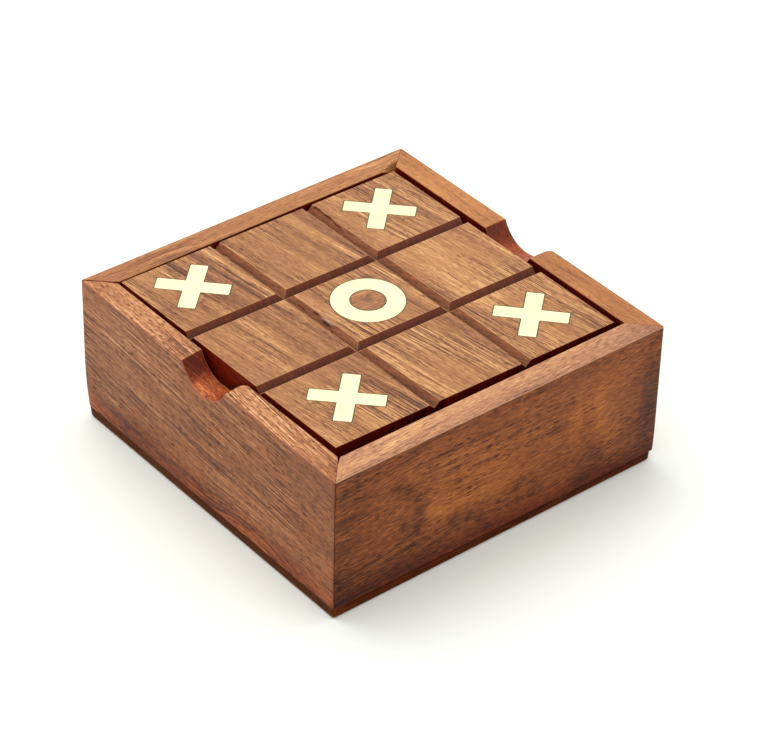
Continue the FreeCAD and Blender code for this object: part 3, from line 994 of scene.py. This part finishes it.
def left_wood():
    """The left wall: grey brown, with red streaks low down."""
    # Spots are (y, z, wide, high, amount).
    face = ((7, 12, 22, 3, 0.10), (-28, 8, 20, 3, 0.12), (42, 7, 16, 4, -0.20),
            (-10, 5, 30, 3, -0.15), (40, 42, 26, 12, 0.08), (-50, 30, 12, 14, -0.02),
            (0, 10, 22, 2.5, -0.16), (50, 13, 13, 3, 0.13), (-48, 10, 18, 3, -0.12),
            (8, 21, 22, 4, -0.07), (-40, 27, 18, 4, 0.06), (38, 33, 24, 6, 0.06),
            (5, 39, 9, 4, 0.07))
    rim = (((-OUTER + 5.5, -32, 53), (5, 24, 4.5), 0.27), ((-OUTER, -30, 45), (3, 22, 4), 0.12),
           ((-OUTER + 4, 34, 52), (6, 16, 3), 0.10))
    # painted highlight: the glossy shine low in the notch near the outer face
    notch = ((-OUTER + 1.2, 2.0, 45.0), (1.5, 3.0, 2.5), 0.28)
    greyer = dict(light=(0.470, 0.200, 0.068), pale=(0.660, 0.355, 0.150))
    # top tints the rim with a painted sheen
    return wood("wood_left", "Y", tilt=5.0, seed=3.0, heart=(-40.0, 150.0), colours=greyer,
                warp=1.4, bends=(on_left(-30, 8, 30, 8, 5.0),),
                patches=(*(on_left(*spot) for spot in face), *rim, notch), band=6.0, line=0.9,
                hair=0.32, mix=(0.5, 0.38, 1.15, 0.9), pores=1.2, gloss=0.16,
                tint=(0.84, 0.72, 0.66), top=(1.66, 2.08, 2.9), low=(1.15, 0.78, 0.43),
                edge=((0.44, 0.16, 0.09), 0.5))


def back_wood():
    """The back wall: an even brown."""
    # top tints the rim with a painted sheen
    return wood("wood_back", "X", seed=2.0, heart=(160.0, 130.0), warp=1.6, line=0.9, hair=0.4,
                mix=(0.6, 0.45, 0.8, 0.7), calm=0.25, tint=(0.85, 0.80, 0.75),
                top=(1.50, 1.70, 2.1))


def right_wood():
    """The right wall: the calmest, and lighter towards the back."""
    # top tints the rim with a painted sheen
    return wood("wood_right", "Y", seed=4.0, heart=(60.0, 130.0), warp=1.6, line=0.9, hair=0.4,
                mix=(0.4, 0.3, 0.6, 0.6), patches=(((59, 35, 50), (20, 24, 10), 0.18),),
                calm=0.35, tint=(0.85, 0.80, 0.75), top=(1.55, 1.65, 1.75))


def base_wood():
    """The base panel: darker than the walls, and dull."""
    return wood("wood_base", "X", seed=5.0, heart=(20.0, -60.0), mix=(0.3, 0.3, 0.5, 0.5),
                patches=(((-63, 0, 2), (6, 200, 20), 0.25),), coat=0.0, gloss=0.03,
                tint=(0.21, 0.105, 0.045), stains=dull_side)


def build_box():
    """The four walls, the base panel and the ledges."""
    left_notch = Notch(THICK["left"], -NOTCH_SKEW, ease_side=1, ease_inside=True)
    right_notch = Notch(THICK["right"], 0.0, ease_side=-1, ease_inside=False)
    walls = {
        "front": (front_wood(), Wall("front", openings=(0.55 * MM, 0.0), arris=0.2 * MM)),
        "back": (back_wood(), Wall("back", openings=(0.0, 0.1 * MM), chip=broken_corner)),
        "left": (left_wood(), Wall("left", left_notch, (0.9 * MM, 0.55 * MM), seam=True)),
        "right": (right_wood(), Wall("right", right_notch)),
    }
    for side, (material, wall) in walls.items():
        node = "wall_" + side
        make_piece(node + "_wood", wall.mesh(side + "_fine"), "box", [node], material)
    make_piece("base_wood", base_mesh(), "box", ["base_panel"], base_wood())
    for i, side in enumerate(("left", "right", "front", "back")):
        node = "ledge_" + side
        bare = wood("wood_" + node, "Y" if side in ("left", "right") else "X", seed=6.0 + i,
                    rough=0.6, coat=0.0)
        make_piece(node + "_wood", refined(node, 0.35 * MM), "box", [node], bare)


def board_wood():
    """The board: golden and striped, calmer towards the back and the right."""
    # Spots are (x, y, wide, long, amount): the wood's tone, partly a painted sheen.
    patches = ((35, 2, 14, 30, 0.10), (35, 36, 12, 12, 0.03), (-38, 38, 16, 16, -0.12),
               (-2, 38, 14, 14, -0.04), (0, -36, 14, 14, 0.05), (36, -36, 14, 14, 0.02))
    quiet = ((-2, 38, 17, 15, 0.75), (36, 2, 17, 17, 0.60), (36, 38, 15, 15, 0.55),
             (36, -38, 14, 12, 0.35))
    return wood("wood_board", "Y", spin=-7.0, seed=9.0, heart=(-200.0, -30.0), warp=0.8,
                patches=tuple(on_board(*spot) for spot in patches),
                quiet=tuple(on_board(*spot) for spot in quiet), band=4.5, line=0.75, hair=0.34,
                mix=(0.8, 0.6, 1.05, 0.7), flecks=0.15, tint=(1.22, 1.40, 1.70),
                # the grooves' sides, with painted shade deepening the end-grain ones
                slope=((0.195, 0.056, 0.018), (0.106, 0.0165, 0.003)),
                # pale arrises, partly a painted highlight; the stains add the painted light at the
                # broken edge
                edge=((0.62, 0.34, 0.15), 0.45), stains=inlay_stains_and_chip_light)


def groove_chips():
    """Shapes that break chips out of the grooves' edges."""
    shapes = (  # (x, y, depth below the top), size
        ((-16.70, 0.4, 1.15), (0.45, 2.3, 0.32)), ((-17.2, -2.6, 1.60), (0.30, 0.5, 0.30)),
        ((-16.0, 6.6, 0.60), (0.40, 1.9, 0.30)), ((-16.9, 12.5, 1.3), (0.30, 2.2, 0.22)),
        ((19.35, 51.2, 0.25), (0.65, 2.2, 0.55)), ((19.45, 46.0, 0.35), (0.50, 2.8, 0.45)),
        ((19.2, 40.5, 0.75), (0.35, 2.6, 0.30)),
    )
    return [splinter((x * MM, y * MM, BOARD_TOP - down * MM), [c * MM for c in size], x + y, 0.5)
            for (x, y, down), size in shapes]


def build_board():
    """The board with its chips, the brass inlays and the plug in the ring."""
    board = refined("game_board", 0.12 * MM, cutters=groove_chips())
    make_piece("game_board_wood", board, "board", ["game_board"], board_wood())
    metal = brass("brass_inlay")
    for node in (*CROSSES, "inlay_ring"):
        make_piece(node + "_brass", refined(node, 0.1 * MM), "board", [node], metal)
    plug = wood("wood_plug", "X", seed=11.0, heart=(60.0, 2.0), warp=0.8, band=3.0,
                mix=(0.5, 0.6, 0.8, 0.8), tint=(1.22, 1.38, 1.80), stains=filled_centre)
    make_piece("ring_plug_wood", plug_mesh(), "board", ["ring_plug"], plug)


def build_tokens():
    """The loose noughts and crosses in the compartment."""
    dark = wood("wood_crosses", "X", seed=13.0, heart=(60.0, 140.0), warp=1.4)
    blond = dict(deep=(0.22, 0.11, 0.05), dark=(0.40, 0.23, 0.11), mid=(0.56, 0.36, 0.19),
                 light=(0.68, 0.47, 0.27), pale=(0.78, 0.58, 0.36))
    pale = wood("wood_noughts", "Y", seed=15.0, heart=(50.0, -130.0), warp=1.4, colours=blond)
    for spot in ("left", "back", "right", "front", "centre"):
        for kind, material in (("nought", pale), ("cross", dark)):
            node = kind + "_" + spot
            make_piece(node + "_wood", refined(node, 0.2 * MM, sharp=20.0, gap_shade=0.0),
                       node + "_piece", [node], material)


# ---------------- stage
def build_floor():
    """A large pale sheet under the set."""
    mesh = bpy.data.meshes.new("floor")
    size = 4.0
    mesh.from_pydata([(-size, -size, 0), (size, -size, 0), (size, size, 0), (-size, size, 0)],
                     [], [(0, 1, 2, 3)])
    floor = add_object("floor", mesh)
    floor.location.z = CAD_BOX[0][2] - 0.02 * MM
    t = Tree("paper")
    tooth = t.noise(t.here(), scale=0.5, detail=4.0, roughness=0.6)
    t.surface({
        "Base Color": t.mix(tooth, *PAPER),
        "Roughness": 0.85,
        "Specular IOR Level": 0.15,
        "Normal": t.bump(tooth, 0.15 * MM, 0.4),
    })
    mesh.materials.append(t.material)


def build_key_light():
    """A large soft light from above and behind."""
    place, aim = Vector((-0.12, 0.62, 1.42)), Vector((0, 0, 0.03))
    data = bpy.data.lights.new("key", "AREA")
    data.shape = "RECTANGLE"
    data.size, data.size_y = 1.0, 0.9
    data.energy = 6.1
    data.color = (1.0, 0.99, 0.97)
    lamp = add_object("key", data)
    lamp.location = place
    lamp.rotation_euler = (aim - place).to_track_quat("-Z", "Y").to_euler()


def build_room():
    """A white room that is brighter at the back."""
    world = bpy.data.worlds.new("room")
    bpy.context.scene.world = world
    world.use_nodes = True
    nodes, links = world.node_tree.nodes, world.node_tree.links
    place = nodes.new("ShaderNodeTexCoord")
    facing = nodes.new("ShaderNodeVectorMath")
    facing.operation = "DOT_PRODUCT"
    facing.inputs[1].default_value = Vector((0.40, 0.70, 0.60)).normalized()
    away, towards, dim, bright = -0.2, 0.9, 1.00, 1.25
    level = nodes.new("ShaderNodeMapRange")
    level.interpolation_type = "SMOOTHSTEP"
    for socket, value in zip(level.inputs[1:5], (away, towards, dim, bright)):
        socket.default_value = value
    links.new(place.outputs["Generated"], facing.inputs[0])
    links.new(facing.outputs["Value"], level.inputs[0])
    back = nodes["Background"]
    back.inputs[0].default_value = (0.995, 1.01, 0.965, 1.0)
    links.new(level.outputs[0], back.inputs[1])


def build_camera():
    """A long lens from above the near corner."""
    azimuth, elevation, roll = math.radians(-39.64), math.radians(36.24), 0.026
    distance = 1.0182
    target = Vector((0.0230, 0.0222, CAD_BOX[0][2]))
    back = Vector((math.cos(elevation) * math.sin(azimuth),
                   -math.cos(elevation) * math.cos(azimuth), math.sin(elevation)))
    right = UP.cross(back).normalized()
    up = back.cross(right)
    side = math.cos(roll) * right + math.sin(roll) * up
    top = -math.sin(roll) * right + math.cos(roll) * up
    data = bpy.data.cameras.new("camera")
    data.sensor_width = 36.0
    data.lens = 149.14
    data.clip_end = 20.0
    camera = add_object("camera", data)
    place = target + back * distance
    camera.matrix_world = Matrix((
        (side.x, top.x, back.x, place.x),
        (side.y, top.y, back.y, place.y),
        (side.z, top.z, back.z, place.z),
        (0, 0, 0, 1),
    ))
    bpy.context.scene.camera = camera


bpy.context.scene.view_settings.view_transform = "Standard"
build_box()
build_board()
build_tokens()
build_floor()
build_room()
build_key_light()
build_camera()

bpy.context.view_layer.update()
